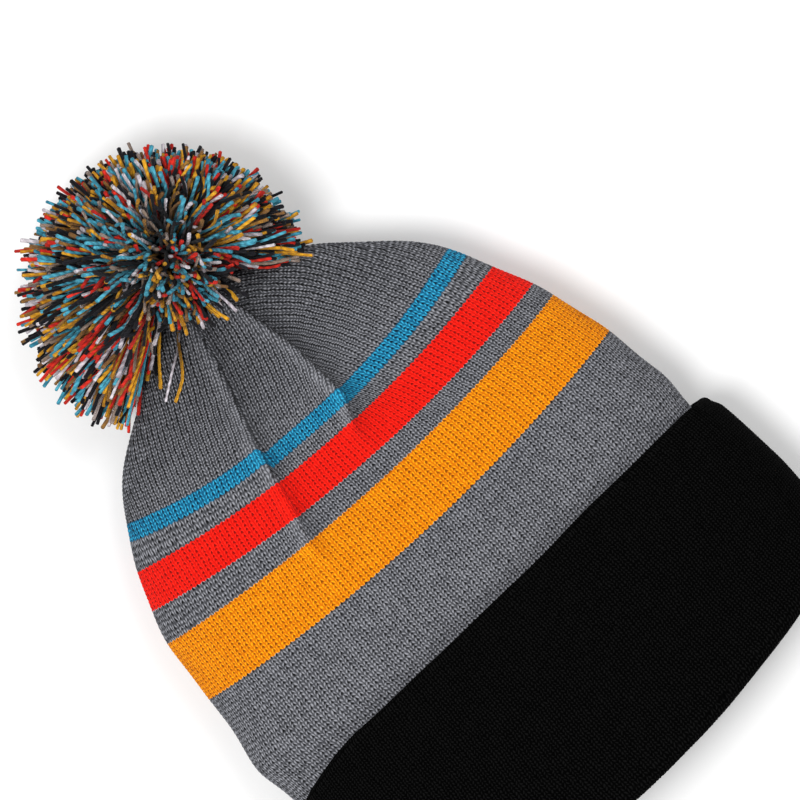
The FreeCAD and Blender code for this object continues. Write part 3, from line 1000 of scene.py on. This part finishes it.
def crown_top_z(x, y):
    """Height of the crown's upper surface over a point, or none beside it."""
    height = y - FOLD_Y
    inside = np.clip(height, 0, CROWN_HEIGHT - TIE_TIP_CLEARANCE)
    width = np.maximum(crown_half_width(inside), 0.1)
    share = np.clip(np.abs(x) / width, 0, 1)
    rise = crown_half_height(inside) * (1 - share**SECTION_POWER) ** (1 / SECTION_POWER)
    return np.where((height < CROWN_HEIGHT) & (np.abs(x) < width), rise, -1.0)


def plan_and_rise(directions):
    """Angles in degrees: seen from above, off the way to the mouth, and up from the floor."""
    plan = np.degrees(np.arctan2(directions[:, 0], -directions[:, 1]))
    rise = np.degrees(np.arcsin(np.clip(directions[:, 2], -1, 1)))
    return plan, rise, np.where(plan > 0, OPEN_RIGHT, OPEN_LEFT)


def strand_directions(rng):
    """Evenly spread directions, without those that would run into the crown, and thinned out
    where the strands of the top lie flat."""
    index = np.arange(STRANDS) + 0.5
    z = 1 - 2 * index / STRANDS
    turn = math.pi * (1 + math.sqrt(5)) * index
    flat = np.sqrt(1 - z**2)
    directions = np.stack([flat * np.cos(turn), flat * np.sin(turn), z], axis=1)
    directions = unit(directions + rng.normal(0, 0.05, directions.shape))
    plan, rise, opening = plan_and_rise(directions)
    limit = opening + rng.normal(0, 4.0, STRANDS)
    steep = STEEP + rng.normal(0, 4.0, STRANDS)
    keep = (np.abs(plan) > limit) | (np.abs(rise) > steep)
    level = np.hypot(directions[:, 0], directions[:, 1])
    ruffled = smooth(-0.2, 0.75, directions[:, :2] @ RUFFLED / np.maximum(level, 0.05))
    thinned = smooth(26, 40, rise) * (0.80 - 0.42 * ruffled) * (np.abs(plan) > limit)
    keep &= rng.random(STRANDS) > thinned
    return directions[keep]


def strand_centres(rng, directions):
    """Centre lines of the strands: bowed and curled a little, clear of the crown and the floor."""
    strands = len(directions)
    plan, rise, opening = plan_and_rise(directions)
    over_crown = (np.abs(plan) < opening) & (directions[:, 1] < -0.1)
    # from the root to the outline ball
    gap = POM_OUTLINE - POM_ROOT
    along = directions @ gap
    reach = along + np.sqrt(along**2 - gap @ gap + POM_REACH**2)
    reach += np.clip(rng.normal(-1.0, 1.1, strands), -4.0, 1.0)
    short = rng.random(strands) < 0.25
    reach[short] -= rng.uniform(2, 10, short.sum())
    reach *= 1 - 0.22 * smooth(52, 84, rise) * rng.uniform(0.4, 1.3, strands)
    reach[over_crown] = np.minimum(reach[over_crown], rng.uniform(31, 44, over_crown.sum()))

    share = np.linspace(0, 1, STRAND_RINGS)[None, :, None]
    start = POM_ROOT + directions * (CORE_RADIUS - 3)
    loose = 0.05 + 0.08 * smooth(45, 80, rise)
    end = POM_ROOT + (directions + rng.normal(0, 1, directions.shape) * loose[:, None]) * reach[:, None]
    end[:, 2] -= 1.6 * (1 - np.abs(directions[:, 2]))
    bow = rng.normal(0, 2.2, directions.shape)
    curl = rng.normal(0, 0.6, directions.shape)
    centres = start[:, None] * (1 - share) + end[:, None] * share
    centres += bow[:, None] * share * (1 - share) * 2
    centres += curl[:, None] * np.sin(share * math.pi * 2.4) * share
    over = crown_top_z(centres[..., 0], centres[..., 1])
    rise = centres[..., 2] - AXIS_Z
    lift = np.where(over > 0, over + 1.3 - rise, 0)
    drop = np.where(over > 0, over + 1.3 + rise, 0)
    above = centres[..., 2] > AXIS_Z - 4
    centres[..., 2] += np.where(above, np.maximum(lift, 0), -np.maximum(drop, 0))
    centres[..., 2] = np.maximum(centres[..., 2], 0.9 + 0.5 * rng.random((strands, 1)))
    return centres


def make_pom():
    rng = np.random.default_rng(23)
    directions = strand_directions(rng)
    strands = len(directions)
    centres = strand_centres(rng, directions)
    thickness = STRAND_RADIUS * rng.uniform(0.8, 1.18, (strands, 1))
    radii = thickness * (1 + 0.14 * smooth(0.85, 1.0, np.linspace(0, 1, STRAND_RINGS))[None, :])

    cell = np.floor(directions * 7.0 + rng.normal(0, 0.18, directions.shape))
    clump = np.abs(np.sin(cell @ np.array([12.99, 78.23, 37.72])) * 43758.5) % 1.0
    pick = np.where(rng.random(strands) < CLUMP_SHARE, clump, rng.random(strands))
    limits = np.cumsum([part for _, part in YARN_SHARES])
    for index, (colour, part) in enumerate(YARN_SHARES):
        chosen = (pick <= limits[index]) & (pick > limits[index] - part)
        tube_piece(
            "pom_strands_" + colour, centres[chosen], radii[chosen], STRAND_SIDES, rng,
            YARN[colour], "pom", "yarn_" + colour, ["pom_yarn_" + colour],
        )
    return rng


def make_pom_core():
    """The bound middle of the pom, where the strands lie too close to tell apart."""
    rings, sides = 40, 64
    lift = np.linspace(0, math.pi, rings)[:, None]
    turn = np.linspace(0, 2 * math.pi, sides)[None, :]
    lump = 1 + 0.05 * np.sin(9 * turn) * np.sin(7 * lift)
    lump = lump + 0.04 * np.sin(17 * turn + 2) * np.sin(13 * lift)
    radius = CORE_RADIUS * lump
    points = np.stack([
        radius * np.sin(lift) * np.cos(turn),
        radius * np.sin(lift) * np.sin(turn),
        -radius * np.cos(lift) * np.ones_like(turn),
    ], axis=2)
    points[..., 1] = np.maximum(points[..., 1], -9.0)
    points = points + POM_ROOT
    twist = np.stack([turn + 0 * lift, radius * lift, np.floor(turn * 9) + 0 * lift], axis=2)
    quads = grid_faces(rings, sides)[:, ::-1]
    add_piece(
        "pom_core", points.reshape(-1, 3), quads, YARN["black"], "pom", "yarn_black",
        yarn=twist.reshape(-1, 3),
    )


def resting_line(points, lift, count):
    """A smooth line over the crown through (x, height) points, lying on its surface."""
    points = np.array(points, float)
    share = np.linspace(0, 1, len(points))
    fine = np.linspace(0, 1, count)
    x = np.interp(fine, share, points[:, 0])
    height = np.interp(fine, share, points[:, 1])
    soften(x, 6)
    soften(height, 6)
    z = AXIS_Z + np.maximum(crown_top_z(x, FOLD_Y + height), 0) + lift
    return np.stack([x, FOLD_Y + height, z], axis=1)


def make_loose_ends(rng):
    """Two long ends of yarn out of the pom. They lie on the crown, and stay there when it nods."""
    ends = [
        ("white", [(-10.5, 139.5), (-14.5, 136.0), (-21.7, 131.6), (-29.9, 126.1)], 0.46),
        ("yellow", [(-10.5, 140.0), (-13.4, 137.0), (-16.9, 131.5), (-20.6, 127.2), (-27.6, 123.6)], 0.56),
    ]
    for colour, points, radius in ends:
        line = resting_line(points, 1.4, 30)
        line[:, 2] += np.linspace(3.5, 0, len(line)) ** 1.2
        radii = np.full((1, len(line)), radius)
        tube_piece(
            "pom_loose_end_" + colour, line[None], radii, 8, rng, YARN[colour], "hat", "yarn_" + colour,
        )


DART_STITCH_PITCH = 1.7
DART_STITCH_SINK = 2.3
DART_STITCH_RADIUS = 0.26


def make_dart_stitches(rng):
    """Sewing thread of the darts: slanting stitches sunk in each crease."""
    for side, dart, mirror, face in (
        ("front_left", DART_LEFT, 1, 1), ("front_right", DART_RIGHT, 1, 1),
        ("back_right", DART_LEFT, -1, -1), ("back_left", DART_RIGHT, -1, -1),
    ):
        heights = np.arange(dart[0][0] + 1.0, dart[-1][0] - 0.5, DART_STITCH_PITCH)
        across = dart_across(dart, heights) * mirror
        z = AXIS_Z + face * (crown_top_z(across, FOLD_Y + heights) - DART_STITCH_SINK)
        middle = np.stack([across + lie(heights), FOLD_Y + heights, z], axis=1)
        step = unit(np.gradient(middle, axis=0))
        across_step = np.cross(step, [0, 0, 1.0])
        share = np.linspace(-1, 1, 7)[None, :, None]
        centres = middle[:, None] + (across_step[:, None] * 0.8 + step[:, None] * 0.55) * share
        centres[..., 2] -= face * 0.5 * share[..., 0] ** 2
        radii = np.full(centres.shape[:2], DART_STITCH_RADIUS)
        tube_piece(
            "dart_stitches_" + side, centres, radii, 6, rng, SEAM, "hat", "seam_thread",
            ["dart_seam_" + side],
        )


make_crown()
make_cuff()
make_brim()
make_lining()
strand_rng = make_pom()
make_pom_core()
make_loose_ends(strand_rng)
make_dart_stitches(strand_rng)

# The knot, loop, threads and bindings keep their CAD shape and get thread for a surface.
for node, material in (
    ("tie_knot", TIE), ("tie_loop", TIE), ("pom_tie_threads", TIE), ("pom_binding", TIE),
    ("crown_gathering_thread", SEAM),
):
    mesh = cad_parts[node].data
    mesh.materials.clear()
    mesh.materials.append(material)

# ---- floor, light and camera
VIEW_CENTRE = (27.2, 10.5)
VIEW_WIDTH = 272.0
VIEW_TURN = -44.03
CAMERA_HEIGHT = 1300.0
FLOOR_HALF_SIZE = 4.0       # metres
FLOOR_SHADE = 0.78
SKY_STRENGTH = 0.76
LIGHTS = [      # name, place in metres, size, watts
    ("key", (-0.3, 0.02, 1.12), 0.42, 9.4),
    ("fill", (0.36, 0.12, 0.95), 0.4, 2.9),
]


def make_stage():
    mesh = bpy.data.meshes.new("floor")
    half = FLOOR_HALF_SIZE
    corners = [(-half, -half, 0), (half, -half, 0), (half, half, 0), (-half, half, 0)]
    mesh.from_pydata(corners, [], [(0, 1, 2, 3)])
    floor = put_in_scene("floor", mesh)
    s = Shader("floor", 0.9, 0.0, 0.1)
    s.surface.inputs["Base Color"].default_value = (FLOOR_SHADE, FLOOR_SHADE, FLOOR_SHADE, 1)
    mesh.materials.append(s.material)

    world = bpy.data.worlds.new("studio")
    world.use_nodes = True
    sky = world.node_tree.nodes["Background"]
    sky.inputs["Color"].default_value = (1, 1, 1, 1)
    sky.inputs["Strength"].default_value = SKY_STRENGTH
    bpy.context.scene.world = world

    for name, place, size, power in LIGHTS:
        light = bpy.data.lights.new(name, "AREA")
        light.shape = "DISK"
        light.size = size
        light.energy = power
        lamp = put_in_scene(name, light)
        lamp.location = place
        lamp.rotation_euler = (-lamp.location).to_track_quat("-Z", "Y").to_euler()


def make_camera():
    data = bpy.data.cameras.new("camera")
    data.sensor_width = 36.0
    data.lens = data.sensor_width * (CAMERA_HEIGHT - AXIS_Z) / VIEW_WIDTH
    camera = put_in_scene("camera", data)
    camera.location = (VIEW_CENTRE[0] * MM, VIEW_CENTRE[1] * MM, CAMERA_HEIGHT * MM)
    camera.rotation_euler = (0, 0, math.radians(VIEW_TURN))
    bpy.context.scene.camera = camera


make_stage()
make_camera()
bpy.context.scene.view_settings.view_transform = "Standard"
